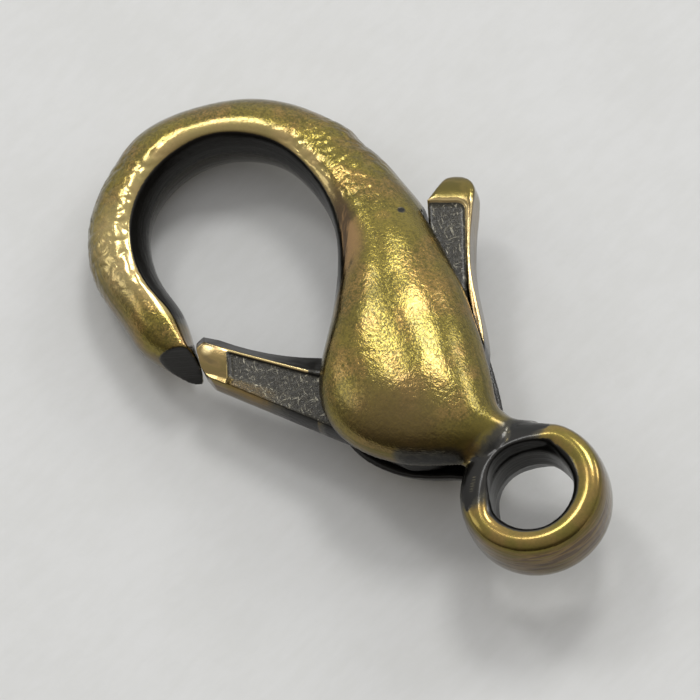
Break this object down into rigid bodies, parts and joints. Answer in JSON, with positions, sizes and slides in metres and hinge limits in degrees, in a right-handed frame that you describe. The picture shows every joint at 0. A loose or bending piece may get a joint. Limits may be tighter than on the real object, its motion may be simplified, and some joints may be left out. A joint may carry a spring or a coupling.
{
  "type": "lobster-claw clasp",
  "caption": "Cast clasp: a ring eye, a hollow domed body, a hook loop, and a sprung gate with a thumb tab that turns on a riveted pin.",
  "frame": {"origin": "centre of the eye, half way through its thickness", "axes": "+X from the eye to the hook loop, +Y towards the side that the gate closes, +Z out of the front shell"},
  "size_m": [0.0226, 0.0121, 0.0046],
  "materials": {
    "cast_brass": "tumbled cast surface, polished on the high faces, brown patina on the walls",
    "lever_brass": "dark rough cast flats with rubbed bright edges",
    "pin_metal": "rivet end filed flush",
    "spring_steel": "bright rolled strip"
  },
  "bodies": {
    "claw": {"claw_body": "cast_brass", "pivot_pin": "pin_metal", "return_spring": "spring_steel"},
    "lever": {"gate_lever": "lever_brass"}
  },
  "joints": [
    {"name": "gate_hinge", "type": "hinge", "parent": "claw", "child": "lever", "pos_m": [0.0044, 0.0009, 0], "axis": [0, 0, -1], "range_deg": [0, 25], "stiffness_Nm_per_rad": 0.01, "springref_deg": -17.19, "deforming": ["return_spring"]}
  ]
}
